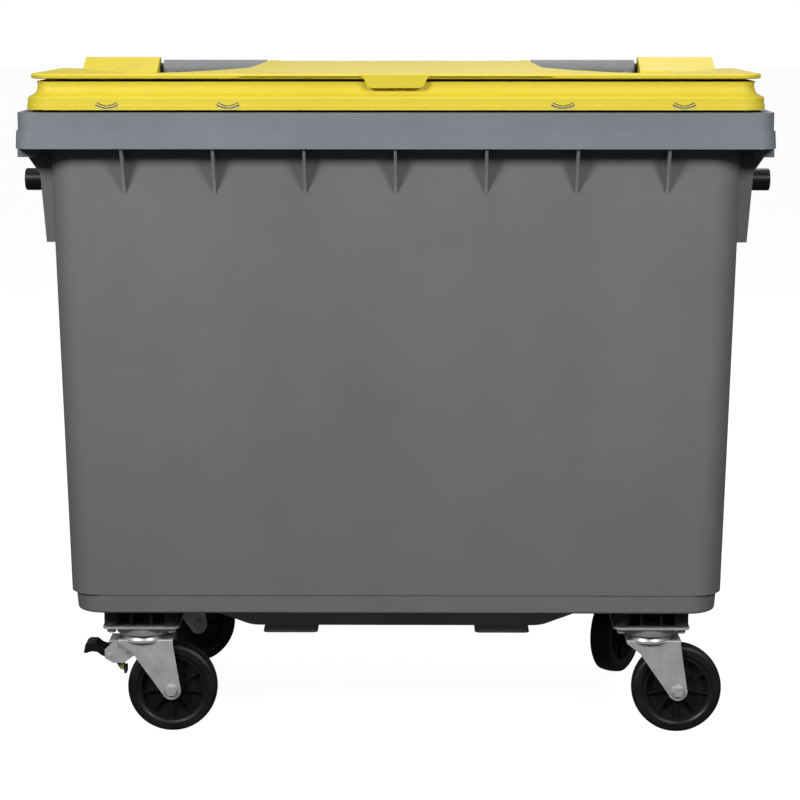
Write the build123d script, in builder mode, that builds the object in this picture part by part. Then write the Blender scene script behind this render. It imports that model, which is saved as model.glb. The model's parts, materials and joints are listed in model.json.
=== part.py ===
from build123d import *
import os

# Four-wheeled waste container of about 660 litres with a flat hinged lid.
# Millimetres.  X runs to the right, -Y is the front, Z is up.
# Origin: on the floor, under the middle of the overall box.

# ---------------------------------------------------------------- driving dimensions
# container body
RIM_HALF_X = 629.0        # half width over the proud lower half of the rim
RIM_FRONT_Y = -388.0      # front face of the rim
RIM_REAR_Y = 335.0        # rear face of the rim
RIM_TOP_Z = 1106.0        # flat top of the rim, where the lid shuts
RIM_STEP_Z = 1076.0       # the lower half of the rim stands proud of the upper half
RIM_FRONT_Z = 1047.0      # lower edge of the rim at front and back
RIM_SIDE_Z = 1031.0       # lower edge of the deeper rim at the sides
RIM_PROUD = 2.5
RIM_FLARE = 1.5           # the side skirt leans out by this much below the step
RIM_WALL = 4.0
RIM_CORNER = 32.0
SKIRT_SHORT = 45.0        # the deeper side skirts stop this far from the rim's corners
SKIRT_RIB = 32.0          # ribs across the rim at the ends of those skirts
WALL = 5.0                # tub wall
TUB_HALF_X = 583.0        # tub's outer faces at the level of the rim's top
TUB_FRONT_Y = -349.0
TUB_REAR_Y = 296.0
TUB_CORNER = 52.0         # plan radius of the tub's corners
TUB_STEP_Z = 272.0        # small inward step near the bottom
TUB_STEP = 7.0
TUB_STEP_SHARE = 0.25     # share of that step at the front and back
TUB_FOOT_LEAN = 2.0
TUB_FOOT_R = 5.0          # rounding of the tub's lower edge
TUB_FLOOR_Z = 238.0       # underside of the tub beside the pan
TUB_TAPER_X = 15.0        # how far each wall leans in between rim and step
TUB_TAPER_FRONT = 34.0
TUB_TAPER_REAR = 31.0
PAN_Z = 201.0             # underside of the sunken pan
PAN_HALF_BOTTOM = 272.0
PAN_HALF_TOP = 346.0
PAN_FRONT_Y = -285.0
PAN_REAR_Y = 232.0
PAN_SLOPE = 36.0          # the pan's front and back lean in by this much
PAN_CORNER = 34.0
RUNNER_Z = 182.0          # underside of the two feet below the pan
RUNNER_X = 188.0
RUNNER_Y = -20.0
RUNNER_WIDTH = 97.0
RUNNER_LENGTH = 420.0
RUNNER_CORNER = 10.0
RUNNER_DRAFT = 12.0
GUSSET_PITCH = 151.0
GUSSET_TIP_Z = 968.0
GUSSET_THICK = 5.0
SIDE_GUSSETS_Y = (-290, -230, 225, 270)
PAD_BOSS_R = 12.5         # bosses for the caster bolts
PAD_RIB = 5.0             # ribs between those bosses

DRAIN_R = 25.0            # bore of the drain in the middle of the pan
DRAIN_Y = -20.0
DRAIN_HEAD_R = 32.0
DRAIN_HEAD = 5.0
DRAIN_NUT_R = 36.0
DRAIN_NUT = 6.0

# lifting trunnions and the side housings that carry them
TRUNNION_R = 20.0
TRUNNION_Z = 969.0
TRUNNION_END_X = 675.0
TRUNNION_FACE_X = 620.5   # where the full diameter starts, just outside the housing
TRUNNION_WALL = 7.0
TRUNNION_EDGE = 3.0
SPIGOT_R = 18.0
SOCKET_WALL = 10.0
BOX_HALF_Y = 186.0
BOX_BOTTOM_Z = 873.0
BOX_TOP_Z = 1060.0
BOX_LEAN_Z = 1032.0       # the housing's face leans in below this height
BOX_X_TOP = 622.0
BOX_X_BOTTOM = 610.5
BOX_WALL = 5.0
BOX_POCKET_Y = 118.0      # middle and length of the two open pockets of a housing
BOX_POCKET = 124.0

# lid
LID_HALF_X = 614.5
LID_FRONT_Y = -371.0
LID_REAR_Y = 318.0
LID_Z = 1110.0            # lower edge of the lid
LID_CORNER = 46.0
LID_WALL = 4.0
LIP_Z = 1169.0            # top of the lid's lip
SHOULDER_Z = 1129.0       # top of the thicker lower band of the lid
# height and half width of the lid's edge: lower band, hollow wall and overhanging lip
PROFILE = [
    (LID_Z, 614.5),
    (1117.5, 614.5),
    (1118.5, 613.5),
    (SHOULDER_Z, 613.0),
    (1131.5, 611.0),
    (1133.5, 606.0),
    (1136.5, 601.0),
    (1141.0, 597.8),
    (1147.0, 596.2),
    (1153.0, 596.6),
    (1157.5, 598.6),
    (1160.5, 602.4),
    (1162.0, 606.4),
    (1166.5, 607.0),
    (LIP_Z, 604.6),
]
PLATEAU_Z = 1175.0        # raised middle of the lid
PLATEAU_HALF_TOP = 251.0
PLATEAU_HALF_BOTTOM = 264.0
PLATEAU_RAMP_Y = -250.0   # the long front ramp ends here
SCOOP_R = 1400.0          # shallow valleys in the lid in front of the handle tubes
SCOOP_X = 440.0
SCOOP_Y = 290.0           # the valley's floor is SCOOP_Z high here and rises toward the front
SCOOP_Z = 1151.0
SCOOP_TILT = 1.75
TAB_Z = 1146.0            # lower edge of the lifting tab
TAB_HALF_TOP = 60.0
TAB_HALF_BOTTOM = 41.0
BUFFER_SEAT_Z = 1111.0    # rubber buffers between lid and rim
BUFFER_X = 598.0
BUFFER_R = 7.5
BUFFER_STEM_R = 3.0
BUFFERS = [(x, y) for x in (-BUFFER_X, BUFFER_X) for y in (-300, -26, 250)]

# hinge between the lid and the container's handle tubes
HINGE_Y = 366.0
HINGE_Z = 1159.0
HINGE_PIN_R = 10.0
BARREL_R = 16.5           # handle tube of the container, round the hinge pin
BARREL_IN_X = 258.0
BARREL_OUT_X = 460.0
WEB_WIDTH = 18.0          # webs that carry the handle tubes
WEB_FOOT = 13.0           # how far each web reaches in from the rim's rear edge
HOOD_R = 22.0             # lid hood over the hinge
HOOD_WALL = 4.0
HOOD_CHEEK = 5.0
HOOD_IN_X = 467.0
HOOD_OUT_X = 612.0
HINGE_ROOT_Y = 298.0      # hoods and arms start inside the lid's rear wall
HINGE_ROOT_TOP_Z = 1155.0
HINGE_ROOT_LOW_Z = 1124.0
HOOD_HOLLOW_TOP_Z = 1158.0
ARM_IN_X = 236.0          # inner hinge arm of the lid
ARM_OUT_X = 254.0
RUNNING_GAP = 0.3         # radial gap between parts that turn on each other

# casters
CASTER_X = 450.0
CASTER_FRONT_Y = -215.0
CASTER_REAR_Y = 203.0
CASTER_TRAIL = 50.0
CASTER_TOP_Z = 202.0
PLATE_X = 134.0
PLATE_Y = 110.0
PLATE_THICK = 4.0
PLATE_CORNER = 12.0
BOLT_X = 52.5
BOLT_Y = 40.0
BOLT_R = 5.0
BOLT_LENGTH = 30.0
WASHER_R = 10.0
WASHER = 2.0
BOLT_HEAD_R = 8.0
BOLT_HEAD = 6.5
WHEEL_R = 80.0
WHEEL_WIDTH = 40.0
TREAD_CROWN = 1.8
CORE_R = 60.0
CORE_HALF = 17.0
CORE_RIM = 5.0
CORE_WEB = 8.0
CORE_SPOKES = 9
SPOKE = 3.0
HUB_R = 20.0
HUB_HALF = 27.0
AXLE_R = 6.0
BUSH_R = 9.0
CAGE_R = 12.0
AXLE_HEAD_R = 9.5
AXLE_HEAD = 5.4
AXLE_WASHER_R = 11.5
AXLE_WASHER = 1.6
FORK_HALF = 33.0          # outer face of each fork leg from the middle
FORK_THICK = 4.0
CROWN_Z = 173.0           # top of the fork crown
LEG_LEFT = -42.0          # extent of the fork along the trail direction
LEG_RIGHT = 54.0
LEG_END_R = 17.0
CROWN_R = 42.0
KINGPIN_R = 7.0
KINGPIN_HEAD_R = 13.0
NUT_Z = 156.0             # lower end of the kingpin and its nut
NUT_R = 12.0
NUT = 8.0
BALL_R = 3.8
BALL_RING_R = 40.5
BALL_Z = 189.5
BALLS = 28

# brake on a fork
BRAKE_X = -59.0           # pedal pivot from the swivel axis
BRAKE_Z = 143.0
BRAKE_PIN_R = 4.0
BRACKET_HALF = 24.5
BRACKET_THICK = 2.5
RIVET_R = 3.5
RIVET_HEAD = 1.6
PEDAL_HALF = 21.0
CAM_HALF = 8.0
PAD_HALF = 11.0

RIM_MID_Y = (RIM_FRONT_Y + RIM_REAR_Y) / 2
RIM_HALF_Y = (RIM_REAR_Y - RIM_FRONT_Y) / 2
PLATE_UNDER = CASTER_TOP_Z - PLATE_THICK
FLOOR_UP = (Align.CENTER, Align.CENTER, Align.MIN)
HANGING = (Align.CENTER, Align.CENTER, Align.MAX)
HANDS = {"left": -1, "right": 1}

os.makedirs("parts", exist_ok=True)


def save(part, name):
    part.label = name
    export_step(part, f"parts/{name}.step")


def section(z, half_x, front_y, rear_y, radius):
    """Rounded rectangle lying flat at height z, centred across the container."""
    middle = Plane(origin=(0, (front_y + rear_y) / 2, z))
    with BuildSketch(middle) as outline:
        RectangleRounded(2 * half_x, rear_y - front_y, radius)
    return outline.sketch


def yz_outline(x, points):
    """Closed outline in the plane at x, given as (y, z) points, facing +X."""
    with BuildSketch(Plane.YZ.offset(x)) as outline:
        with BuildLine():
            Polyline(*points, close=True)
        make_face()
    return outline.sketch


def xz_outline(y, points):
    """Closed outline in the plane at y, given as (x, z) points, facing -Y."""
    with BuildSketch(Plane.XZ.offset(-y)) as outline:
        with BuildLine():
            Polyline(*points, close=True)
        make_face()
    return outline.sketch


def disc(x, y, z, radius):
    """Circle round an axis that runs across the container."""
    with BuildSketch(Plane.YZ.offset(x)) as outline:
        with Locations((y, z)):
            Circle(radius)
    return outline.sketch


def lean(z):
    """Share of the tub's taper that is used up at height z."""
    return (RIM_TOP_Z - z) / (RIM_TOP_Z - TUB_STEP_Z)


def front_wall_y(z):
    return TUB_FRONT_Y + TUB_TAPER_FRONT * lean(z)


def rear_wall_y(z):
    return TUB_REAR_Y - TUB_TAPER_REAR * lean(z)


def side_wall_x(z):
    return TUB_HALF_X - TUB_TAPER_X * lean(z)


def tub_section(z, inset, step=0.0):
    """Tub outline at height z, leaning in as it goes down."""
    gap = inset + TUB_STEP_SHARE * step
    return section(
        z,
        side_wall_x(z) - inset - step,
        front_wall_y(z) + gap,
        rear_wall_y(z) - gap,
        TUB_CORNER - inset,
    )


def pan_section(z, half_x, slope, inset):
    return section(
        z, half_x - inset, PAN_FRONT_Y + slope + inset, PAN_REAR_Y - slope - inset, PAN_CORNER
    )


def caster_places():
    """Name and swivel axis of each caster, the way its fork trails, and whether it has a brake."""
    return [
        ("front_left", -CASTER_X, CASTER_FRONT_Y, 0, True),
        ("front_right", CASTER_X, CASTER_FRONT_Y, 0, False),
        ("rear_left", -CASTER_X, CASTER_REAR_Y, 20, False),
        ("rear_right", CASTER_X, CASTER_REAR_Y, 240, True),
    ]


# ---------------------------------------------------------------- container body
# The tub's cavity, made first so that it can be taken out of every outer feature.
with BuildPart() as cavity:
    loft(
        [
            tub_section(TUB_FLOOR_Z + WALL, WALL, TUB_STEP + TUB_FOOT_LEAN),
            tub_section(TUB_STEP_Z, WALL, TUB_STEP),
            tub_section(RIM_TOP_Z, WALL),
        ],
        ruled=True,
    )
    loft(
        [
            pan_section(PAN_Z + WALL, PAN_HALF_BOTTOM, PAN_SLOPE, WALL),
            pan_section(TUB_FLOOR_Z + WALL, PAN_HALF_TOP, 0, WALL),
        ],
        ruled=True,
    )
    # the feet are hollow from inside
    for side in HANDS.values():
        with Locations((side * RUNNER_X, RUNNER_Y, RUNNER_Z + WALL)):
            Box(
                RUNNER_WIDTH - 2 * WALL,
                RUNNER_LENGTH - 2 * WALL - PAN_SLOPE,
                PAN_Z - RUNNER_Z + 1,
                align=FLOOR_UP,
            )

with BuildPart() as container_body:
    # tub: upper walls, then the slightly narrower foot with rounded lower edges
    loft([tub_section(TUB_STEP_Z, 0), tub_section(RIM_TOP_Z, 0)], ruled=True)
    loft(
        [
            tub_section(TUB_FLOOR_Z, 0, TUB_STEP + TUB_FOOT_LEAN),
            tub_section(TUB_STEP_Z + 1, 0, TUB_STEP),
        ],
        ruled=True,
    )
    fillet(container_body.edges().group_by(Axis.Z)[0], TUB_FOOT_R)
    # sunken pan and the two feet that the container is set down on
    loft(
        [
            pan_section(PAN_Z, PAN_HALF_BOTTOM, PAN_SLOPE, 0),
            pan_section(TUB_FLOOR_Z + 1, PAN_HALF_TOP, 0, 0),
        ],
        ruled=True,
    )
    for side in HANDS.values():
        with BuildSketch(Plane.XY.offset(RUNNER_Z)):
            with Locations((side * RUNNER_X, RUNNER_Y)):
                RectangleRounded(RUNNER_WIDTH, RUNNER_LENGTH, RUNNER_CORNER)
        extrude(amount=PAN_Z - RUNNER_Z + WALL, taper=RUNNER_DRAFT)
    # caster pads: four bosses joined by ribs, open between them
    pad_height = TUB_FLOOR_Z + 2 - CASTER_TOP_Z
    for name, x, y, turn, braked in caster_places():
        with Locations((x, y, CASTER_TOP_Z)):
            with GridLocations(2 * BOLT_X, 2 * BOLT_Y, 2, 2):
                Cylinder(PAD_BOSS_R, pad_height, align=FLOOR_UP)
            with GridLocations(2 * BOLT_X, 1, 2, 1):
                Box(PAD_RIB, 2 * BOLT_Y, pad_height, align=FLOOR_UP)
            with GridLocations(2 * BOLT_X / 3, 1, 2, 1):
                Box(PAD_RIB, 2 * BOLT_Y, pad_height, align=FLOOR_UP)
            Box(2 * BOLT_X, PAD_RIB, pad_height, align=FLOOR_UP)
    # rim: flat top with a skirt all round, its lower half proud of the upper half
    extrude(
        section(
            RIM_FRONT_Z,
            RIM_HALF_X - RIM_PROUD,
            RIM_FRONT_Y + RIM_PROUD,
            RIM_REAR_Y - RIM_PROUD,
            RIM_CORNER,
        ),
        amount=RIM_TOP_Z - RIM_FRONT_Z,
    )
    loft(
        [
            section(RIM_FRONT_Z, RIM_HALF_X + RIM_FLARE, RIM_FRONT_Y, RIM_REAR_Y, RIM_CORNER),
            section(RIM_STEP_Z, RIM_HALF_X, RIM_FRONT_Y + 1, RIM_REAR_Y - 1, RIM_CORNER),
        ],
        ruled=True,
    )
    # the rim's underside is open: an inverted channel round the tub
    with BuildSketch(Plane.XY.offset(RIM_FRONT_Z - 1)):
        with Locations((0, RIM_MID_Y)):
            RectangleRounded(
                2 * (RIM_HALF_X - RIM_WALL),
                2 * (RIM_HALF_Y - RIM_WALL),
                RIM_CORNER - RIM_WALL,
            )
        with Locations((0, (front_wall_y(RIM_FRONT_Z) + rear_wall_y(RIM_FRONT_Z)) / 2)):
            RectangleRounded(
                2 * side_wall_x(RIM_FRONT_Z),
                rear_wall_y(RIM_FRONT_Z) - front_wall_y(RIM_FRONT_Z),
                TUB_CORNER,
                mode=Mode.SUBTRACT,
            )
    extrude(amount=RIM_TOP_Z - RIM_WALL - RIM_FRONT_Z + 1, mode=Mode.SUBTRACT)
    for side in HANDS.values():
        # deeper skirts at the sides
        skirt_x = RIM_HALF_X + RIM_FLARE - RIM_WALL / 2
        with Locations((side * skirt_x, RIM_MID_Y, RIM_SIDE_Z)):
            Box(
                RIM_WALL,
                2 * (RIM_HALF_Y - SKIRT_SHORT),
                RIM_FRONT_Z - RIM_SIDE_Z + 2,
                align=FLOOR_UP,
            )
        # a rib across the rim at each end of that skirt
        end_rib = [
            (side * (RIM_HALF_X - SKIRT_RIB), RIM_TOP_Z - 2),
            (side * (RIM_HALF_X - RIM_WALL), RIM_TOP_Z - 2),
            (side * (RIM_HALF_X - RIM_WALL), RIM_STEP_Z),
            (side * (RIM_HALF_X - 1), RIM_STEP_Z - 5),
            (side * (RIM_HALF_X - 1), RIM_SIDE_Z),
            (side * (RIM_HALF_X - SKIRT_RIB), RIM_SIDE_Z),
        ]
        for end in (SKIRT_SHORT - RIM_HALF_Y, RIM_HALF_Y - SKIRT_SHORT - RIM_WALL):
            extrude(xz_outline(RIM_MID_Y + end, end_rib), amount=-RIM_WALL)
        # housing that carries the trunnion, with pockets open below
        housing = [
            (side * (side_wall_x(BOX_TOP_Z) - 2), BOX_TOP_Z),
            (side * (RIM_HALF_X - 2), BOX_TOP_Z),
            (side * (RIM_HALF_X - 2), RIM_SIDE_Z + 1),
            (side * BOX_X_TOP, BOX_LEAN_Z),
            (side * BOX_X_BOTTOM, BOX_BOTTOM_Z),
            (side * (side_wall_x(BOX_BOTTOM_Z) - 2), BOX_BOTTOM_Z),
        ]
        extrude(xz_outline(-BOX_HALF_Y, housing), amount=-2 * BOX_HALF_Y)
        pocket = [
            (side * (side_wall_x(RIM_TOP_Z) + 1), BOX_TOP_Z - 2 * BOX_WALL),
            (side * (BOX_X_TOP - BOX_WALL), BOX_TOP_Z - 2 * BOX_WALL),
            (side * (BOX_X_BOTTOM - BOX_WALL), BOX_BOTTOM_Z - 1),
            (side * (side_wall_x(BOX_BOTTOM_Z) + 0.5), BOX_BOTTOM_Z - 1),
        ]
        for middle in (-BOX_POCKET_Y, BOX_POCKET_Y):
            start = middle - BOX_POCKET / 2
            extrude(xz_outline(start, pocket), amount=-BOX_POCKET, mode=Mode.SUBTRACT)
        # socket for the trunnion
        root_x = side_wall_x(TRUNNION_Z) - WALL - 1
        extrude(
            disc(side * root_x, 0, TRUNNION_Z, SPIGOT_R + SOCKET_WALL), amount=side * 24
        )
    # gussets under the rim at the front and back
    for count in range(-3, 4):
        x = count * GUSSET_PITCH - GUSSET_THICK / 2
        front = [
            (RIM_FRONT_Y + RIM_WALL - 1, RIM_TOP_Z - 2),
            (RIM_FRONT_Y + RIM_WALL - 1, RIM_FRONT_Z + 2),
            (front_wall_y(GUSSET_TIP_Z) + 0.5, GUSSET_TIP_Z),
            (front_wall_y(RIM_TOP_Z) + 3, RIM_TOP_Z - 2),
        ]
        back = [
            (RIM_REAR_Y - RIM_WALL + 1, RIM_TOP_Z - 2),
            (RIM_REAR_Y - RIM_WALL + 1, RIM_FRONT_Z + 2),
            (rear_wall_y(GUSSET_TIP_Z) - 0.5, GUSSET_TIP_Z),
            (rear_wall_y(RIM_TOP_Z) - 3, RIM_TOP_Z - 2),
        ]
        for outline in (front, back):
            extrude(yz_outline(x, outline), amount=GUSSET_THICK)
    # gussets under the rim at the sides, beside the trunnion housings
    for side in HANDS.values():
        rib = [
            (side * (RIM_HALF_X - RIM_WALL + 1), RIM_TOP_Z - 2),
            (side * (RIM_HALF_X - RIM_WALL + 1), RIM_SIDE_Z + 4),
            (side * (side_wall_x(GUSSET_TIP_Z) - 0.5), GUSSET_TIP_Z),
            (side * (side_wall_x(RIM_TOP_Z) - 3), RIM_TOP_Z - 2),
        ]
        for y in SIDE_GUSSETS_Y:
            extrude(xz_outline(y - GUSSET_THICK / 2, rib), amount=-GUSSET_THICK)
    add(cavity.part, mode=Mode.SUBTRACT)
    # trunnion sockets, caster bolt holes and the drain hole
    for side in HANDS.values():
        root_x = side_wall_x(TRUNNION_Z) - 1
        extrude(
            disc(side * root_x, 0, TRUNNION_Z, SPIGOT_R + 0.05),
            amount=side * 60,
            mode=Mode.SUBTRACT,
        )
    for name, x, y, turn, braked in caster_places():
        with Locations((x, y, CASTER_TOP_Z - 1)):
            with GridLocations(2 * BOLT_X, 2 * BOLT_Y, 2, 2):
                Cylinder(BOLT_R, BOLT_LENGTH - 1, align=FLOOR_UP, mode=Mode.SUBTRACT)
    with Locations((0, DRAIN_Y, PAN_Z - 1)):
        Cylinder(DRAIN_R, 20, align=FLOOR_UP, mode=Mode.SUBTRACT)
save(container_body.part, "container_body")

# ---------------------------------------------------------------- trunnions and drain plug
for hand, side in HANDS.items():
    outer_end = -1 if side > 0 else 0
    root_x = side_wall_x(TRUNNION_Z) - 1
    with BuildPart() as trunnion:
        # bearing length outside the housing, then a thinner spigot in the socket
        extrude(
            disc(side * TRUNNION_FACE_X, 0, TRUNNION_Z, TRUNNION_R),
            amount=side * (TRUNNION_END_X - TRUNNION_FACE_X),
        )
        rounds = trunnion.edges().filter_by(GeomType.CIRCLE).sort_by(Axis.X)
        fillet(rounds[outer_end], TRUNNION_EDGE)
        extrude(
            disc(side * root_x, 0, TRUNNION_Z, SPIGOT_R),
            amount=side * (TRUNNION_FACE_X - root_x),
        )
        extrude(
            disc(side * (root_x + 13), 0, TRUNNION_Z, TRUNNION_R - TRUNNION_WALL),
            amount=side * 90,
            mode=Mode.SUBTRACT,
        )
    save(trunnion.part, f"trunnion_{hand}")

# bung through the floor of the pan, with a slotted hexagon head below
with BuildPart() as drain_plug:
    with BuildSketch(Plane.XY.offset(PAN_Z - DRAIN_HEAD)):
        with Locations((0, DRAIN_Y)):
            RegularPolygon(DRAIN_HEAD_R, 6)
    extrude(amount=DRAIN_HEAD)
    fillet(drain_plug.edges().group_by(Axis.Z)[0], 1.5)
    with Locations((0, DRAIN_Y, PAN_Z)):
        Cylinder(DRAIN_R - 0.2, WALL + DRAIN_NUT + 1, align=FLOOR_UP)
    with Locations((0, DRAIN_Y, PAN_Z - DRAIN_HEAD - 1)):
        Box(24, 6, 4, align=FLOOR_UP, mode=Mode.SUBTRACT)
save(drain_plug.part, "drain_plug")

# ring nut that holds the bung from inside
with BuildPart() as drain_nut:
    with BuildSketch(Plane.XY.offset(PAN_Z + WALL)):
        with Locations((0, DRAIN_Y)):
            RegularPolygon(DRAIN_NUT_R, 8)
            Circle(DRAIN_R, mode=Mode.SUBTRACT)
    extrude(amount=DRAIN_NUT)
    fillet(drain_nut.edges().group_by(Axis.Z)[-1], 1)
save(drain_nut.part, "drain_nut")

# ---------------------------------------------------------------- handles
# A tube behind the lid on each side, on two webs that stand on the rim.
web = [
    (RIM_REAR_Y - WEB_FOOT, RIM_TOP_Z),
    (RIM_REAR_Y - RIM_PROUD, RIM_TOP_Z),
    (HINGE_Y + 11, HINGE_Z - 7),
    (HINGE_Y - 7, HINGE_Z + 9),
]
for hand, side in HANDS.items():
    with BuildPart() as handle:
        for near in (BARREL_IN_X + 4, BARREL_OUT_X - 4 - WEB_WIDTH):
            extrude(yz_outline(side * near, web), amount=side * WEB_WIDTH)
        extrude(
            disc(side * BARREL_IN_X, HINGE_Y, HINGE_Z, BARREL_R),
            amount=side * (BARREL_OUT_X - BARREL_IN_X),
        )
        extrude(
            disc(side * (BARREL_IN_X - 1), HINGE_Y, HINGE_Z, HINGE_PIN_R + 0.02),
            amount=side * (BARREL_OUT_X - BARREL_IN_X + 2),
            mode=Mode.SUBTRACT,
        )
    save(handle.part, f"handle_{hand}")

# ---------------------------------------------------------------- hinge pins
for hand, side in HANDS.items():
    with BuildPart() as hinge_pin:
        extrude(
            disc(side * (ARM_IN_X + 1), HINGE_Y, HINGE_Z, HINGE_PIN_R),
            amount=side * (HOOD_OUT_X - ARM_IN_X - 2),
        )
        chamfer(hinge_pin.edges().filter_by(GeomType.CIRCLE), 1)
    save(hinge_pin.part, f"hinge_pin_{hand}")


# ---------------------------------------------------------------- lid
def lid_section(z, half_x, wall=0.0):
    """Lid outline at height z; every section keeps the same margin to the lid's lower edge."""
    inset = LID_HALF_X - half_x + wall
    return section(
        z, half_x - wall, LID_FRONT_Y + inset, LID_REAR_Y - inset, LID_CORNER - inset
    )


def plateau(top_z, wall):
    """Raised middle of the lid: long ramp at the front, short sides."""
    lip_inset = LID_HALF_X - PROFILE[-1][1]
    return loft(
        [
            section(
                LIP_Z - LID_WALL - 2,
                PLATEAU_HALF_BOTTOM - wall,
                LID_FRONT_Y + lip_inset - 40 + wall,
                LID_REAR_Y - 14 - wall,
                4,
            ),
            section(
                top_z, PLATEAU_HALF_TOP - wall, PLATEAU_RAMP_Y + wall, LID_REAR_Y - 20 - wall, 4
            ),
        ],
        ruled=True,
    )


def cut_scoops(radius):
    for side in HANDS.values():
        tilted = Location((side * SCOOP_X, SCOOP_Y, SCOOP_Z + SCOOP_R), (90 - SCOOP_TILT, 0, 0))
        with Locations(tilted):
            Cylinder(radius, 2000, mode=Mode.SUBTRACT)


def hinge_outline(x, radius):
    """Side outline of a hinge hood or arm: round over the pin, straight back to the lid."""
    with BuildSketch(Plane.YZ.offset(x)) as outline:
        with Locations((HINGE_Y, HINGE_Z)):
            Circle(radius)
        with BuildLine():
            Polyline(
                (HINGE_Y, HINGE_Z + radius),
                (HINGE_Y - 6, HINGE_Z + radius),
                (HINGE_ROOT_Y, HINGE_ROOT_TOP_Z),
                (HINGE_ROOT_Y, HINGE_ROOT_LOW_Z),
                (HINGE_Y - 6, HINGE_Z - radius),
                (HINGE_Y, HINGE_Z - radius),
                close=True,
            )
        make_face()
    return outline.sketch


def hood_hollow(x):
    """Side outline of the space under a hood, open below."""
    radius = HOOD_R - HOOD_WALL
    behind_y = LID_REAR_Y + 1
    below = HINGE_Z - HOOD_R - 30
    with BuildSketch(Plane.YZ.offset(x)) as outline:
        with Locations((HINGE_Y, HINGE_Z)):
            Circle(radius)
        with BuildLine():
            Polyline(
                (HINGE_Y, HINGE_Z + radius),
                (HINGE_Y - 6, HINGE_Z + radius),
                (behind_y, HOOD_HOLLOW_TOP_Z),
                (behind_y, below),
                (HINGE_Y + radius, below),
                (HINGE_Y + radius, HINGE_Z),
                close=True,
            )
        make_face()
    return outline.sketch


with BuildPart() as lid_inside:
    loft(
        [lid_section(LID_Z - 1, LID_HALF_X, LID_WALL)]
        + [lid_section(z - LID_WALL, half, LID_WALL) for z, half in PROFILE[1:]],
        ruled=True,
    )
    cut_scoops(SCOOP_R + LID_WALL)
    plateau(PLATEAU_Z - LID_WALL, LID_WALL)

with BuildPart() as lid:
    loft([lid_section(z, half) for z, half in PROFILE], ruled=True)
    cut_scoops(SCOOP_R)
    # the plateau's ramp runs out at the lip, so the part of it beyond the lip is left off
    with BuildPart(mode=Mode.PRIVATE) as raised:
        plateau(PLATEAU_Z, 0)
        lip_inset = LID_HALF_X - PROFILE[-1][1]
        with Locations((0, LID_FRONT_Y + lip_inset, LIP_Z)):
            Box(700, 100, 60, align=(Align.CENTER, Align.MAX, Align.CENTER), mode=Mode.SUBTRACT)
    add(raised.part)
    add(lid_inside.part, mode=Mode.SUBTRACT)
    # lifting tab at the middle of the front lip
    lip_front_y = LID_FRONT_Y + LID_HALF_X - max(half for z, half in PROFILE if z > SHOULDER_Z + 10)
    tab = [
        (-TAB_HALF_TOP, LIP_Z - 1.2),
        (TAB_HALF_TOP, LIP_Z - 1.2),
        (TAB_HALF_TOP - 8, LIP_Z - 8),
        (TAB_HALF_BOTTOM + 6, TAB_Z + 4),
        (TAB_HALF_BOTTOM, TAB_Z),
        (-TAB_HALF_BOTTOM, TAB_Z),
        (-TAB_HALF_BOTTOM - 6, TAB_Z + 4),
        (-TAB_HALF_TOP + 8, LIP_Z - 8),
    ]
    extrude(xz_outline(lip_front_y - 1, tab), amount=-LID_WALL - 1)
    # hinge hoods and their cheeks, and the inner hinge arms
    for side in HANDS.values():
        extrude(
            hinge_outline(side * HOOD_IN_X, HOOD_R), amount=side * (HOOD_OUT_X - HOOD_IN_X)
        )
        extrude(
            hood_hollow(side * (HOOD_IN_X + HOOD_CHEEK)),
            amount=side * (HOOD_OUT_X - HOOD_IN_X - 2 * HOOD_CHEEK),
            mode=Mode.SUBTRACT,
        )
        extrude(
            hinge_outline(side * ARM_IN_X, BARREL_R - 0.5), amount=side * (ARM_OUT_X - ARM_IN_X)
        )
        extrude(
            disc(side * (ARM_IN_X - 1), HINGE_Y, HINGE_Z, HINGE_PIN_R + RUNNING_GAP),
            amount=side * (HOOD_OUT_X - ARM_IN_X),
            mode=Mode.SUBTRACT,
        )
    # bosses for the rubber buffers
    for x, y in BUFFERS:
        with Locations((x, y, BUFFER_SEAT_Z)):
            Cylinder(BUFFER_R + 0.5, SHOULDER_Z - BUFFER_SEAT_Z, align=FLOOR_UP)
            with Locations((0, 0, -1)):
                Cylinder(BUFFER_STEM_R, 9, align=FLOOR_UP, mode=Mode.SUBTRACT)
save(lid.part, "lid")

with BuildPart() as lid_buffers:
    for x, y in BUFFERS:
        with Locations((x, y, RIM_TOP_Z + RUNNING_GAP)):
            Cylinder(BUFFER_R, BUFFER_SEAT_Z - RIM_TOP_Z - RUNNING_GAP, align=FLOOR_UP)
            Cylinder(BUFFER_STEM_R - 0.1, BUFFER_SEAT_Z - RIM_TOP_Z + 6, align=FLOOR_UP)
save(lid_buffers.part, "lid_buffers")

# ---------------------------------------------------------------- caster bolts
# one hexagon bolt with its washer, standing on the origin with the washer's top at z = 0
with BuildPart() as bolt:
    with BuildSketch(Plane.XY.offset(-WASHER - BOLT_HEAD)):
        RegularPolygon(BOLT_HEAD_R, 6)
    extrude(amount=BOLT_HEAD)
    chamfer(bolt.edges().group_by(Axis.Z)[0], 0.8)
    with Locations((0, 0, -WASHER)):
        Cylinder(WASHER_R, WASHER, align=FLOOR_UP)
    Cylinder(BOLT_R - 0.05, BOLT_LENGTH, align=FLOOR_UP)

all_bolts = [
    bolt.part.moved(Location((x + dx * BOLT_X, y + dy * BOLT_Y, PLATE_UNDER)))
    for name, x, y, turn, braked in caster_places()
    for dx in (-1, 1)
    for dy in (-1, 1)
]
save(Compound(children=all_bolts), "caster_bolts")

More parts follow.
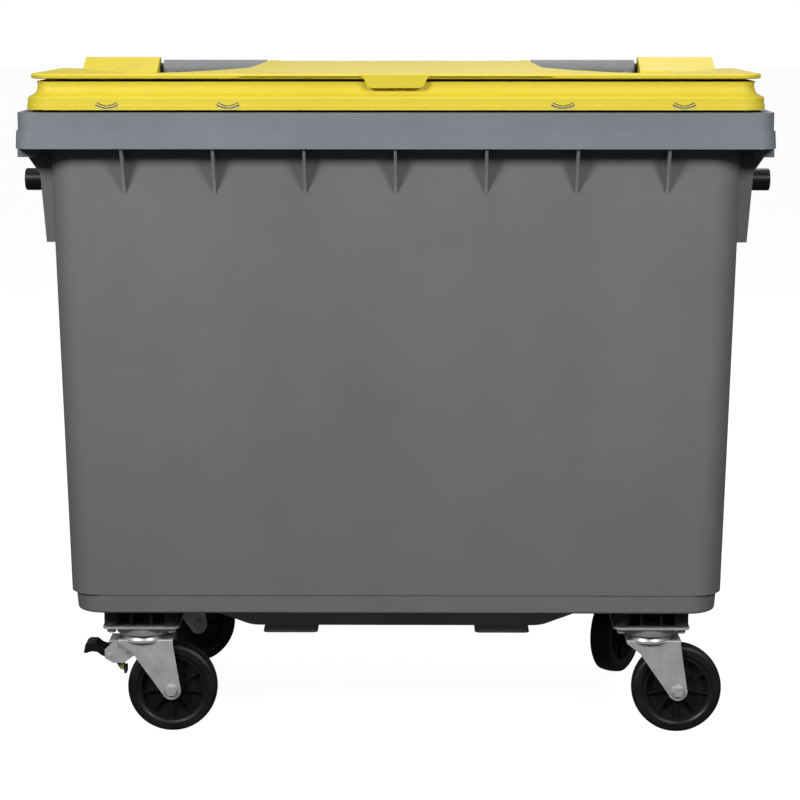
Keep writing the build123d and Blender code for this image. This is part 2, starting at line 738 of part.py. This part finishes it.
# ---------------------------------------------------------------- caster parts
# Each is drawn with the swivel axis on the Z axis and the wheel trailing toward +X.
with BuildPart() as mounting_plate:
    with BuildSketch(Plane.XY.offset(PLATE_UNDER)):
        RectangleRounded(PLATE_X, PLATE_Y, PLATE_CORNER)
        Circle(KINGPIN_R, mode=Mode.SUBTRACT)
        with GridLocations(2 * BOLT_X, 2 * BOLT_Y, 2, 2):
            SlotOverall(16, 2 * BOLT_R + 1, mode=Mode.SUBTRACT)
    extrude(amount=PLATE_THICK)
    # pressed raceway under the plate
    with BuildSketch(Plane.XZ):
        with BuildLine():
            Polyline(
                (53, PLATE_UNDER + 0.5),
                (49, PLATE_UNDER + 0.5),
                (43.5, PLATE_UNDER - 13.5),
                (42, PLATE_UNDER - 15),
                (46.5, PLATE_UNDER - 15.5),
                (48, PLATE_UNDER - 14),
                close=True,
            )
        make_face()
    revolve(axis=Axis.Z)

with BuildPart() as kingpin:
    with Locations((0, 0, NUT_Z)):
        Cylinder(KINGPIN_R, CASTER_TOP_Z - NUT_Z, align=FLOOR_UP)
    with Locations((0, 0, PLATE_UNDER)):
        Cylinder(KINGPIN_HEAD_R, 5, align=HANGING)
    with BuildSketch(Plane.XY.offset(NUT_Z)):
        RegularPolygon(NUT_R, 6)
        Circle(KINGPIN_R, mode=Mode.SUBTRACT)
    extrude(amount=NUT)
    with Locations((0, 0, NUT_Z + NUT)):
        washer_height = CROWN_Z - FORK_THICK - NUT_Z - NUT - RUNNING_GAP
        Cylinder(KINGPIN_HEAD_R, washer_height, align=FLOOR_UP)

with BuildPart() as swivel_balls:
    with Locations((0, 0, BALL_Z)):
        with PolarLocations(BALL_RING_R, BALLS):
            Sphere(BALL_R)

# pressed fork: crown with a dished raceway and two tapering legs
with BuildPart() as fork:
    with Locations(((LEG_LEFT + LEG_RIGHT) / 2, 0, CROWN_Z)):
        Box(LEG_RIGHT - LEG_LEFT, 2 * FORK_HALF, FORK_THICK, align=HANGING)
    with Locations((0, 0, CROWN_Z)):
        Cylinder(CROWN_R, FORK_THICK, align=HANGING)
    leg = [
        (CASTER_TRAIL + LEG_END_R, WHEEL_R),
        (LEG_RIGHT, CROWN_Z - 10),
        (LEG_RIGHT, CROWN_Z),
        (LEG_LEFT, CROWN_Z),
        (LEG_LEFT, CROWN_Z - 5),
        (LEG_LEFT + 24, CROWN_Z - 24),
        (CASTER_TRAIL - LEG_END_R + 3, WHEEL_R - 9),
        (CASTER_TRAIL, WHEEL_R),
    ]
    for face_y in (-FORK_HALF, FORK_HALF - FORK_THICK):
        extrude(xz_outline(face_y, leg), amount=-FORK_THICK)
        with BuildSketch(Plane.XZ.offset(-face_y)):
            with Locations((CASTER_TRAIL, WHEEL_R)):
                Circle(LEG_END_R)
        extrude(amount=-FORK_THICK)
    top_edges = fork.edges().filter_by(Axis.X).group_by(Axis.Z)[-1]
    fillet(top_edges.filter_by(lambda e: abs(abs(e.center().Y) - FORK_HALF) < 0.1), 2)
    with BuildSketch(Plane.XZ):
        with BuildLine():
            Polyline(
                (41, CROWN_Z - 0.5),
                (35, CROWN_Z + 11),
                (36, CROWN_Z + 18),
                (33, CROWN_Z + 18),
                (31.5, CROWN_Z + 11),
                (36, CROWN_Z - 0.5),
                close=True,
            )
        make_face()
    revolve(axis=Axis.Z)
    Cylinder(KINGPIN_R + 0.5, 500, mode=Mode.SUBTRACT)
    with Locations(Location((CASTER_TRAIL, 0, WHEEL_R), (90, 0, 0))):
        Cylinder(AXLE_R + 0.1, 200, mode=Mode.SUBTRACT)

# axle bolt with a hexagon head in front and a nut behind
with BuildPart() as axle_bolt:
    with Locations(Location((CASTER_TRAIL, 0, WHEEL_R), (90, 0, 0))):
        Cylinder(AXLE_R, 2 * (FORK_HALF + AXLE_WASHER + AXLE_HEAD))
        with Locations((0, 0, FORK_HALF), (0, 0, -FORK_HALF - AXLE_WASHER)):
            Cylinder(AXLE_WASHER_R, AXLE_WASHER, align=FLOOR_UP)
    for face_y, way in ((-FORK_HALF - AXLE_WASHER, 1), (FORK_HALF + AXLE_WASHER, -1)):
        with BuildSketch(Plane.XZ.offset(-face_y)):
            with Locations((CASTER_TRAIL, WHEEL_R)):
                RegularPolygon(AXLE_HEAD_R, 6)
        extrude(amount=way * AXLE_HEAD)


def ring(inner, outer, half):
    """Ring round the wheel's axle."""
    axle = Plane(origin=(CASTER_TRAIL, 0, WHEEL_R), z_dir=(0, -1, 0))
    with BuildPart(axle) as turned:
        Cylinder(outer, 2 * half)
        Cylinder(inner, 2 * half, mode=Mode.SUBTRACT)
    return turned.part


axle_bush = ring(AXLE_R, BUSH_R, FORK_HALF - FORK_THICK)
bearing_cage = ring(BUSH_R + RUNNING_GAP, CAGE_R, HUB_HALF - 3)

with BuildPart(Plane(origin=(CASTER_TRAIL, 0, WHEEL_R), z_dir=(0, -1, 0))) as wheel_core:
    Cylinder(CORE_R, 2 * CORE_HALF)
    Cylinder(CORE_R - CORE_RIM, 2 * CORE_HALF, mode=Mode.SUBTRACT)
    Cylinder(CORE_R - 4, CORE_WEB)
    Cylinder(HUB_R, 2 * HUB_HALF)
    with PolarLocations(HUB_R + 18, CORE_SPOKES):
        Box(38, SPOKE, 2 * CORE_HALF - 6)
    Cylinder(CAGE_R, 2 * HUB_HALF + 2, mode=Mode.SUBTRACT)

with BuildPart() as tyre:
    half = WHEEL_WIDTH / 2
    top = 2 * WHEEL_R
    edge = WHEEL_R + CORE_R
    with BuildSketch(Plane.YZ.offset(CASTER_TRAIL)):
        with BuildLine():
            Polyline(
                (-CORE_HALF, edge),
                (-half, edge + 4),
                (-half, top - 6),
                (-half + 3, top - TREAD_CROWN),
            )
            ThreePointArc(
                (-half + 3, top - TREAD_CROWN), (0, top), (half - 3, top - TREAD_CROWN)
            )
            Polyline(
                (half - 3, top - TREAD_CROWN),
                (half, top - 6),
                (half, edge + 4),
                (CORE_HALF, edge),
                (-CORE_HALF, edge),
            )
        make_face()
    revolve(axis=Axis((CASTER_TRAIL, 0, WHEEL_R), (0, 1, 0)))

# ---------------------------------------------------------------- brake parts, in the same frame
with BuildPart() as brake_bracket:
    top = CROWN_Z - FORK_THICK
    cheek = [(-10, top), (-50, top), (-68, 152), (-68, 137), (-54, 128), (-34, 128), (-10, 146)]
    for face_y in (-BRACKET_HALF, BRACKET_HALF - BRACKET_THICK):
        extrude(xz_outline(face_y, cheek), amount=-BRACKET_THICK)
    with Locations((-39, 0, top)):
        Box(42, 2 * BRACKET_HALF, BRACKET_THICK, align=HANGING)
    Cylinder(15, 500, mode=Mode.SUBTRACT)
    with Locations(Location((BRAKE_X, 0, BRAKE_Z), (90, 0, 0))):
        Cylinder(BRAKE_PIN_R, 100, mode=Mode.SUBTRACT)

# pivot pin and the rivets that hold the bracket's two cheeks
with BuildPart() as brake_rivets:
    with Locations(Location((BRAKE_X, 0, BRAKE_Z), (90, 0, 0))):
        Cylinder(BRAKE_PIN_R, 2 * (BRACKET_HALF + RIVET_HEAD))
    for x, z in ((-20, 158), (-30, 149), (-46, 158)):
        for side in (-1, 1):
            outside = Location((x, side * (BRACKET_HALF + RIVET_HEAD / 2), z), (90, 0, 0))
            with Locations(outside):
                Cylinder(RIVET_R, RIVET_HEAD)

with BuildPart() as brake_pedal:
    pedal = [
        (-106, 145), (-103, 160), (-98, 163), (-85, 163), (-75, 155), (-59, 151),
        (-52, 145), (-54, 137), (-64, 136), (-74, 141), (-82, 147), (-92, 148), (-100, 145),
    ]
    extrude(xz_outline(-PEDAL_HALF, pedal), amount=-2 * PEDAL_HALF)
    # bore for the pivot pin and slot for the cam
    with Locations(Location((BRAKE_X, 0, BRAKE_Z), (90, 0, 0))):
        Cylinder(BRAKE_PIN_R + RUNNING_GAP, 100, mode=Mode.SUBTRACT)
    with Locations((-55, 0, BRAKE_Z)):
        Box(30, 2 * CAM_HALF + 0.4, 30, mode=Mode.SUBTRACT)

with BuildPart() as brake_cam:
    cam = [
        (-69.9, 149), (-52, 149), (-44, 138), (-36, 120), (-36, 110),
        (-43, 112), (-50, 124), (-58, 134), (-69.9, 139),
    ]
    extrude(xz_outline(-CAM_HALF, cam), amount=-2 * CAM_HALF)
    with Locations(Location((BRAKE_X, 0, BRAKE_Z), (90, 0, 0))):
        Cylinder(BRAKE_PIN_R + RUNNING_GAP, 100, mode=Mode.SUBTRACT)

with BuildPart() as brake_pad:
    pad = [(-36, 117), (-31.5, 117), (-31.5, 105), (-36, 105)]
    extrude(xz_outline(-PAD_HALF, pad), amount=-2 * PAD_HALF)

# the pieces that stay with the container, and the pieces that swivel with the fork
FIXED_PIECES = {
    "mounting_plate": mounting_plate.part,
    "kingpin": kingpin.part,
    "swivel_balls": swivel_balls.part,
}
SWIVEL_PIECES = {
    "fork": fork.part,
    "axle_bolt": axle_bolt.part,
    "axle_bush": axle_bush,
    "bearing_cage": bearing_cage,
    "wheel_core": wheel_core.part,
    "tyre": tyre.part,
}
BRAKE_PIECES = {
    "brake_bracket": brake_bracket.part,
    "brake_rivets": brake_rivets.part,
    "brake_pedal": brake_pedal.part,
    "brake_cam": brake_cam.part,
    "brake_pad": brake_pad.part,
}
for corner, x, y, turn, braked in caster_places():
    turning = dict(SWIVEL_PIECES)
    if braked:
        turning.update(BRAKE_PIECES)
    for name, shape in FIXED_PIECES.items():
        save(shape.moved(Location((x, y, 0))), f"{corner}_{name}")
    for name, shape in turning.items():
        save(shape.moved(Location((x, y, 0), (0, 0, turn))), f"{corner}_{name}")
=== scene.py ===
import json
import math

import bmesh
import bpy
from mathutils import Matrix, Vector


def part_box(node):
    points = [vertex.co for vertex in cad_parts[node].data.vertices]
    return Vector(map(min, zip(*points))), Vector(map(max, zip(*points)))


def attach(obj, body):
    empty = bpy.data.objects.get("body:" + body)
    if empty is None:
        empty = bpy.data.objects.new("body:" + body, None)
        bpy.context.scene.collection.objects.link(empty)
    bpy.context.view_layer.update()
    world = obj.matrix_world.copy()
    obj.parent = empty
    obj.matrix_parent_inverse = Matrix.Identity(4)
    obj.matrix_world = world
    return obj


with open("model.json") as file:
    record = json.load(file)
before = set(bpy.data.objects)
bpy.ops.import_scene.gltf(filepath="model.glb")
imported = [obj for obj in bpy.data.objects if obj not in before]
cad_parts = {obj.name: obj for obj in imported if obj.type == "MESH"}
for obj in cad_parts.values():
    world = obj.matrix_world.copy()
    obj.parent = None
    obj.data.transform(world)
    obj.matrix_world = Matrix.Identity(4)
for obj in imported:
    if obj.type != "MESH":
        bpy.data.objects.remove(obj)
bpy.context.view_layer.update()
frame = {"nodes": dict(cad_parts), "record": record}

NODES = frame["nodes"]
RECORD = frame["record"]


# ---------------------------------------------------------------- material helpers
class Nodes:
    """Short names for building a node tree."""

    def __init__(self, name):
        self.material = bpy.data.materials.new(name)
        self.material.use_nodes = True
        self.tree = self.material.node_tree
        self.tree.nodes.clear()
        self.output = self.tree.nodes.new("ShaderNodeOutputMaterial")
        self.shader = self.tree.nodes.new("ShaderNodeBsdfPrincipled")
        self.link(self.shader.outputs[0], self.output.inputs["Surface"])
        coords = self.tree.nodes.new("ShaderNodeTexCoord")
        self.place = coords.outputs["Object"]

    def link(self, source, target):
        self.tree.links.new(source, target)

    def scaled(self, scale):
        """Object coordinates in metres, stretched by scale."""
        node = self.tree.nodes.new("ShaderNodeMapping")
        node.inputs["Scale"].default_value = scale
        self.link(self.place, node.inputs["Vector"])
        return node.outputs[0]

    def noise(self, scale, detail=3.0, rough=0.5, vector=None):
        node = self.tree.nodes.new("ShaderNodeTexNoise")
        node.inputs["Scale"].default_value = scale
        node.inputs["Detail"].default_value = detail
        node.inputs["Roughness"].default_value = rough
        self.link(vector or self.place, node.inputs["Vector"])
        return node.outputs["Fac"]

    def cells(self, scale, vector=None):
        node = self.tree.nodes.new("ShaderNodeTexVoronoi")
        node.inputs["Scale"].default_value = scale
        self.link(vector or self.place, node.inputs["Vector"])
        return node

    def ramp(self, value, stops):
        """Colours, or greys, at places from 0 to 1."""
        node = self.tree.nodes.new("ShaderNodeValToRGB")
        node.color_ramp.elements[0].position = stops[0][0]
        node.color_ramp.elements[-1].position = stops[-1][0]
        for at, colour in stops[1:-1]:
            node.color_ramp.elements.new(at)
        for element, (at, colour) in zip(node.color_ramp.elements, stops):
            shade = colour if isinstance(colour, (tuple, list)) else (colour,) * 3
            element.color = (*shade[:3], 1)
        self.link(value, node.inputs["Fac"])
        return node.outputs["Color"]

    def range(self, value, low, high, out_low, out_high):
        node = self.tree.nodes.new("ShaderNodeMapRange")
        for key, number in (("From Min", low), ("From Max", high), ("To Min", out_low), ("To Max", out_high)):
            node.inputs[key].default_value = number
        self.link(value, node.inputs["Value"])
        return node.outputs[0]

    def math(self, kind, a, b):
        node = self.tree.nodes.new("ShaderNodeMath")
        node.operation = kind
        for socket, value in zip(node.inputs, (a, b)):
            if isinstance(value, (int, float)):
                socket.default_value = value
            else:
                self.link(value, socket)
        return node.outputs[0]

    def mix(self, share, a, b, kind="MIX"):
        node = self.tree.nodes.new("ShaderNodeMix")
        node.data_type = "RGBA"
        node.blend_type = kind
        for socket, value in ((node.inputs["Factor"], share), (node.inputs["A"], a), (node.inputs["B"], b)):
            if isinstance(value, (int, float)):
                socket.default_value = value
            elif isinstance(value, (tuple, list)):
                socket.default_value = (*value[:3], 1)
            else:
                self.link(value, socket)
        return node.outputs["Result"]

    def along(self, axis):
        node = self.tree.nodes.new("ShaderNodeSeparateXYZ")
        self.link(self.place, node.inputs[0])
        return node.outputs[axis]

    def bump(self, *layers):
        """Stacks (height, strength, distance) layers into the shader's normal."""
        normal = None
        for height, strength, distance in layers:
            node = self.tree.nodes.new("ShaderNodeBump")
            node.inputs["Strength"].default_value = strength
            node.inputs["Distance"].default_value = distance
            self.link(height, node.inputs["Height"])
            if normal is not None:
                self.link(normal, node.inputs["Normal"])
            normal = node.outputs[0]
        self.link(normal, self.shader.inputs["Normal"])

    def set(self, **values):
        for key, value in values.items():
            self.shader.inputs[key.replace("_", " ")].default_value = value

    def finish(self, colour, roughness):
        self.link(colour, self.shader.inputs["Base Color"])
        self.link(roughness, self.shader.inputs["Roughness"])
        return self.material


def moulded_plastic(name, colour, lighter, rough=(0.38, 0.55), grime=0.25, level=0.5):
    """Injection-moulded polyethylene: faint flow clouds, fine grain, handling scratches and dust."""
    n = Nodes(name)
    clouds = n.noise(2.2, 4, 0.55, n.scaled((1, 1, 0.45)))
    base = n.mix(n.range(clouds, 0.35, 0.7, 0, 1), colour, lighter)
    scratches = n.noise(70, 2, 0.5, n.scaled((0.06, 1, 1.8)))
    scuffs = n.range(scratches, 0.66, 0.76, 0, 1)
    base = n.mix(n.math("MULTIPLY", scuffs, 0.05), base, tuple(min(1, c * 1.6 + 0.01) for c in colour))
    dust = n.math("MULTIPLY", n.range(n.noise(7, 5, 0.65), 0.45, 0.75, 0, 1), grime)
    base = n.mix(dust, base, tuple(c * 0.82 for c in colour))
    speckle = n.noise(900, 2, 0.6)
    gloss = n.math("ADD", n.range(clouds, 0.3, 0.7, rough[0], rough[1]), n.math("MULTIPLY", scuffs, 0.08))
    n.bump((speckle, 0.25, 0.00012), (n.noise(16, 3, 0.5), 0.08, 0.002))
    n.set(IOR=1.5, Specular_IOR_Level=level)
    return n.finish(base, gloss)


def dusty_body_with_painted_light(name):
    """Grey polyethylene with dust and scratches; the rim is lighter as a painted sheen, the pan's underside
    paler as painted light, the caster pads near black as painted shade, and the body darker towards the
    bottom as painted shade.
    """
    rim_foot = (1.030, 1.046)
    tub_foot = (0.240, 0.233)
    pads_start = (0.355, 0.375)
    n = Nodes(name)
    clouds = n.noise(2.2, 4, 0.55, n.scaled((1, 1, 0.45)))
    base = n.mix(n.range(clouds, 0.35, 0.7, 0, 1), (0.160, 0.165, 0.168), (0.178, 0.183, 0.187))
    height = n.along("Z")
    # painted light: below the tub's foot the pan's underside is made pale grey
    base = n.mix(n.range(height, *tub_foot, 0, 0.8), base, (0.40, 0.403, 0.406))
    # painted shade: below the tub's foot and out at the caster pads the body is made near black
    across = n.math("ABSOLUTE", n.along("X"), 0)
    painted_pad_shade = n.math("MULTIPLY", n.range(height, *tub_foot, 0, 1), n.range(across, *pads_start, 0, 0.93))
    base = n.mix(painted_pad_shade, base, (0.016, 0.016, 0.017))
    # painted shade: the body is made darker towards the bottom
    base = n.mix(n.range(height, 0.95, 0.30, 0, 0.22), base, (0.125, 0.125, 0.126))
    # painted sheen: from the rim's foot upward the body is made lighter and bluer, in patches
    patches = n.range(n.noise(5, 4, 0.6), 0.35, 0.65, 0, 1)
    painted_rim_sheen = n.mix(patches, (0.188, 0.200, 0.218), (0.213, 0.226, 0.250))
    base = n.mix(n.range(height, *rim_foot, 0, 1), base, painted_rim_sheen)
    scratches = n.noise(70, 2, 0.5, n.scaled((0.06, 1, 1.8)))
    scuffs = n.range(scratches, 0.66, 0.76, 0, 1)
    base = n.mix(n.math("MULTIPLY", scuffs, 0.05), base, (0.24, 0.245, 0.25))
    dust = n.math("MULTIPLY", n.range(n.noise(7, 5, 0.65), 0.45, 0.75, 0, 1), 0.18)
    base = n.mix(dust, base, (0.105, 0.106, 0.108))
    gloss = n.range(clouds, 0.3, 0.7, 0.44, 0.56)
    n.bump((n.noise(900, 2, 0.6), 0.25, 0.00012), (n.noise(16, 3, 0.5), 0.08, 0.002))
    n.set(IOR=1.5, Specular_IOR_Level=0.28)
    return n.finish(base, gloss)


def zinc_plate(name, colour=(0.56, 0.565, 0.57), bright=(0.70, 0.705, 0.71), metal=0.5):
    """Bright zinc plating on pressed steel: soft clouding, a faint warm and blue cast, fine scratches."""
    n = Nodes(name)
    patches = n.noise(38, 4, 0.6)
    base = n.mix(n.range(patches, 0.35, 0.65, 0, 1), colour, bright)
    tint = n.ramp(n.noise(22, 2, 0.5), [(0.35, (1.0, 0.985, 0.93)), (0.65, (0.93, 0.97, 1.0))])
    base = n.mix(0.6, base, tint, "MULTIPLY")
    scratches = n.range(n.noise(260, 2, 0.5, n.scaled((0.2, 1, 2.4))), 0.6, 0.75, 0, 1)
    base = n.mix(n.math("MULTIPLY", scratches, 0.15), base, (0.7, 0.7, 0.7))
    gloss = n.range(n.noise(55, 4, 0.6), 0.3, 0.7, 0.30, 0.46)
    n.bump((n.noise(420, 3, 0.6), 0.10, 0.0002), (n.noise(30, 2, 0.5), 0.12, 0.001))
    n.set(Metallic=metal, IOR=1.5)
    return n.finish(base, gloss)


def black_rubber(name, colour=(0.006, 0.006, 0.0065), rough=(0.38, 0.55)):
    """Solid rubber: faint bloom, tiny pits and a dusty tread."""
    n = Nodes(name)
    bloom = n.noise(24, 4, 0.6)
    base = n.mix(n.range(bloom, 0.4, 0.75, 0, 0.35), colour, (0.016, 0.016, 0.0165))
    pits = n.cells(520).outputs["Distance"]
    n.bump((pits, 0.12, 0.0002), (n.noise(60, 3, 0.5), 0.10, 0.0006))
    n.set(IOR=1.5, Specular_IOR_Level=0.35)
    return n.finish(base, n.range(bloom, 0.3, 0.7, rough[0], rough[1]))


def polished_steel(name):
    n = Nodes(name)
    base = n.mix(n.range(n.noise(90, 3, 0.5), 0.3, 0.7, 0, 1), (0.42, 0.42, 0.43), (0.52, 0.52, 0.53))
    n.bump((n.noise(600, 2, 0.5), 0.05, 0.0001))
    n.set(Metallic=1.0)
    return n.finish(base, n.range(n.noise(70, 3, 0.5), 0.3, 0.7, 0.18, 0.3))


BLACK = (0.008, 0.008, 0.008)
BLACK_LIGHT = (0.012, 0.012, 0.012)
YELLOW = (0.70, 0.565, 0.038)
YELLOW_LIGHT = (0.75, 0.615, 0.052)
MATERIALS = {
    "body_plastic": dusty_body_with_painted_light("body_plastic"),
    "lid_plastic": moulded_plastic("lid_plastic", YELLOW, YELLOW_LIGHT, (0.42, 0.52), 0.05, level=0.35),
    "black_plastic": moulded_plastic("black_plastic", BLACK, BLACK_LIGHT, (0.28, 0.40), 0.2, level=0.35),
    "zinc_steel": zinc_plate("zinc_steel"),
    "ball_steel": polished_steel("ball_steel"),
    "tyre_rubber": black_rubber("tyre_rubber"),
    "black_rubber": black_rubber("black_rubber", BLACK_LIGHT, (0.5, 0.7)),
    # painted shade: a near-black stroke material for the lid's marks
    "mark_recess": moulded_plastic("mark_recess", (0.10, 0.07, 0.008), (0.14, 0.10, 0.012), (0.4, 0.5), 0.1),
    # painted highlight: a pale stroke material for the lid's marks
    "mark_ridge": moulded_plastic("mark_ridge", (0.80, 0.70, 0.30), (0.86, 0.77, 0.38), (0.3, 0.4), 0.05),
    "cage_nylon": moulded_plastic("cage_nylon", (0.60, 0.58, 0.50), (0.68, 0.66, 0.58), (0.35, 0.5), 0.15),
    "cam_plastic": moulded_plastic("cam_plastic", (0.38, 0.42, 0.09), (0.44, 0.48, 0.12), (0.35, 0.5), 0.2),
}


# ---------------------------------------------------------------- CAD nodes: finish and softened edges
def smoothing_group():
    """Geometry nodes that shade shallow edges smooth and keep steep ones sharp."""
    group = bpy.data.node_groups.new("smooth_shallow_edges", "GeometryNodeTree")
    group.interface.new_socket("Geometry", in_out="INPUT", socket_type="NodeSocketGeometry")
    group.interface.new_socket("Geometry", in_out="OUTPUT", socket_type="NodeSocketGeometry")
    begin = group.nodes.new("NodeGroupInput")
    end = group.nodes.new("NodeGroupOutput")
    plain = group.nodes.new("GeometryNodeRemoveAttribute")
    plain.inputs["Name"].default_value = "custom_normal"
    faces = group.nodes.new("GeometryNodeSetShadeSmooth")
    faces.domain = "FACE"
    faces.inputs["Shade Smooth"].default_value = True
    edges = group.nodes.new("GeometryNodeSetShadeSmooth")
    edges.domain = "EDGE"
    bend = group.nodes.new("GeometryNodeInputMeshEdgeAngle")
    shallow = group.nodes.new("FunctionNodeCompare")
    shallow.data_type = "FLOAT"
    shallow.operation = "LESS_EQUAL"
    shallow.inputs["B"].default_value = math.radians(34)
    for source, target in (
        (begin.outputs[0], plain.inputs["Geometry"]),
        (plain.outputs["Geometry"], faces.inputs[0]),
        (faces.outputs[0], edges.inputs[0]),
        (edges.outputs[0], end.inputs[0]),
        (bend.outputs["Unsigned Angle"], shallow.inputs["A"]),
        (shallow.outputs[0], edges.inputs["Shade Smooth"]),
    ):
        group.links.new(source, target)
    return group


def soften(piece, width, smoothing, merge, segments=2, angle=34):
    """Rounds the sharp edges of a CAD shape with modifiers, leaving its own mesh as it is."""
    weld = piece.modifiers.new("weld", "WELD")
    weld.merge_threshold = 0.00001
    flat = piece.modifiers.new("flat", "DECIMATE")
    flat.decimate_type = "DISSOLVE"
    flat.angle_limit = math.radians(merge)
    smooth = piece.modifiers.new("smooth", "NODES")
    smooth.node_group = smoothing
    bevel = piece.modifiers.new("bevel", "BEVEL")
    bevel.width = width
    bevel.segments = segments
    bevel.limit_method = "ANGLE"
    bevel.angle_limit = math.radians(angle)
    bevel.use_clamp_overlap = True
    bevel.harden_normals = True
    weighted = piece.modifiers.new("weighted", "WEIGHTED_NORMAL")
    weighted.keep_sharp = True
    weighted.weight = 90


def finish_nodes():
    """Gives every CAD node its material, and the plastic and zinc nodes a small edge radius to suit their
    making.
    """
    smoothing = smoothing_group()
    edges = {"body_plastic": 0.0012, "lid_plastic": 0.0012, "zinc_steel": 0.0005, "black_plastic": 0.0006}
    for part in RECORD["subparts"]:
        piece = NODES[part["node"]]
        piece.data.materials.clear()
        piece.data.materials.append(MATERIALS[part["material_slot"]])
        if part["material_slot"] in edges:
            # the lid's shallow valleys need their own facets
            merge = 0.05 if part["node"] == "lid" else 0.6
            soften(piece, edges[part["material_slot"]], smoothing, merge)


# ---------------------------------------------------------------- moulded marks on the lid
def lid_marks():
    """Four small moulded marks on the lid's lower band: thin raised curved strokes, pale ones as painted
    highlight, with a near-black stroke over each as painted shade.
    """
    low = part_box("lid")[0]
    front = low[1]
    foot = low[2]
    steps = 9
    inner = 0.0008
    # kind, height above the lid's edge and outer reach of each stroke; the near-black kind is painted shade
    # and the pale kind painted highlight
    strokes = (
        ("ridge", 0.0015, 0.0195),
        ("recess", 0.0033, 0.0190),
        ("ridge", 0.0052, 0.0165),
        ("recess", 0.0070, 0.0160),
    )
    for count, across in enumerate((-0.476, -0.276, 0.276, 0.476)):
        for hand in (-1, 1):
            for level, (kind, lift, reach) in enumerate(strokes):
                curve = bpy.data.curves.new(f"lid_mark_{kind}_{count}_{hand + 1}_{level}", "CURVE")
                curve.dimensions = "3D"
                curve.bevel_depth = 0.001
                curve.bevel_resolution = 2
                spline = curve.splines.new("POLY")
                spline.points.add(steps)
                for step in range(steps + 1):
                    share = step / steps
                    x = across + hand * (inner + (reach - inner) * share)
                    z = foot + lift + 0.0052 * share ** 1.8
                    spline.points[step].co = (x, front - 0.0001, z, 1)
                stroke = bpy.data.objects.new(curve.name, curve)
                stroke.data.materials.append(MATERIALS[f"mark_{kind}"])
                bpy.context.scene.collection.objects.link(stroke)
                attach(stroke, "lid")


# ---------------------------------------------------------------- studio
def glow(name, brightness, albedo, one_sided=False):
    """Pale paper lit mostly from behind, so shadows on it stay faint; clear from below if one-sided."""
    n = Nodes(name)
    n.set(Emission_Color=(1, 1, 1, 1), Emission_Strength=brightness)
    tone = n.range(n.noise(3, 3, 0.5), 0.3, 0.7, albedo - 0.01, albedo + 0.01)
    n.set(Specular_IOR_Level=0.0)
    if one_sided:
        clear = n.tree.nodes.new("ShaderNodeBsdfTransparent")
        side = n.tree.nodes.new("ShaderNodeNewGeometry")
        blend = n.tree.nodes.new("ShaderNodeMixShader")
        n.link(side.outputs["Backfacing"], blend.inputs[0])
        n.link(n.shader.outputs[0], blend.inputs[1])
        n.link(clear.outputs[0], blend.inputs[2])
        n.link(blend.outputs[0], n.output.inputs["Surface"])
    return n.finish(tone, n.range(n.noise(60, 2, 0.5), 0, 1, 0.8, 0.9))


def studio():
    """White sweep, soft boxes at the front, above and behind, and a soft sky."""
    scene = bpy.context.scene
    scene.view_settings.view_transform = "Standard"
    world = bpy.data.worlds.new("studio")
    world.use_nodes = True
    tree = world.node_tree
    coords = tree.nodes.new("ShaderNodeTexCoord")
    parts = tree.nodes.new("ShaderNodeSeparateXYZ")
    ramp = tree.nodes.new("ShaderNodeMapRange")
    for key, number in (("From Min", -0.15), ("From Max", 0.15), ("To Min", 0.05), ("To Max", 0.11)):
        ramp.inputs[key].default_value = number
    tree.links.new(coords.outputs["Generated"], parts.inputs[0])
    tree.links.new(parts.outputs["Z"], ramp.inputs["Value"])
    tree.links.new(ramp.outputs[0], tree.nodes["Background"].inputs["Strength"])
    tree.nodes["Background"].inputs["Color"].default_value = (1, 1, 1, 1)
    scene.world = world

    shell = bmesh.new()
    bmesh.ops.create_circle(shell, cap_ends=True, segments=64, radius=45)
    floor = bpy.data.objects.new("floor", bpy.data.meshes.new("floor"))
    shell.to_mesh(floor.data)
    shell.free()
    floor.data.materials.append(glow("floor_paper", 0.95, 0.22, True))
    shell = bmesh.new()
    bmesh.ops.create_uvsphere(shell, u_segments=48, v_segments=24, radius=46)
    sweep = bpy.data.objects.new("sweep", bpy.data.meshes.new("sweep"))
    shell.to_mesh(sweep.data)
    shell.free()
    sweep.data.materials.append(glow("sweep_paper", 1.0, 0.02))
    for paper in (floor, sweep):
        scene.collection.objects.link(paper)
        paper.visible_diffuse = False
        paper.visible_glossy = False
        paper.visible_shadow = False

    target = Vector((0, -0.3, 0.75))
    for name, place, size, power in (
        ("key", (-2.4, -3.5, 2.9), 1.0, 144),
        ("fill", (2.3, -3.5, 2.9), 1.0, 103),
        ("top", (0.0, 0.1, 4.2), 1.6, 40),
        ("back", (0.5, 3.4, 3.9), 2.5, 52),
    ):
        light = bpy.data.lights.new(name, "AREA")
        light.size = size
        light.energy = power
        lamp = bpy.data.objects.new(name, light)
        lamp.location = place
        lamp.rotation_euler = (target - Vector(place)).to_track_quat("-Z", "Y").to_euler()
        scene.collection.objects.link(lamp)


def photo_camera(distance=4.188, height=1.280, azimuth=0.42, pitch=9.73, lens=103.5, aim_x=0.005):
    """Camera at the viewpoint of the picture: level with the lid's top and looking down a little."""
    data = bpy.data.cameras.new("camera")
    data.lens = lens
    data.sensor_width = 36.0
    data.clip_start = 0.1
    data.clip_end = 120.0
    camera = bpy.data.objects.new("camera", data)
    turn = math.radians(azimuth)
    camera.location = (math.sin(turn) * distance + aim_x, -math.cos(turn) * distance, height)
    camera.rotation_euler = (math.radians(90 - pitch), 0, turn)
    bpy.context.scene.collection.objects.link(camera)
    bpy.context.scene.camera = camera


finish_nodes()
lid_marks()
studio()
photo_camera()
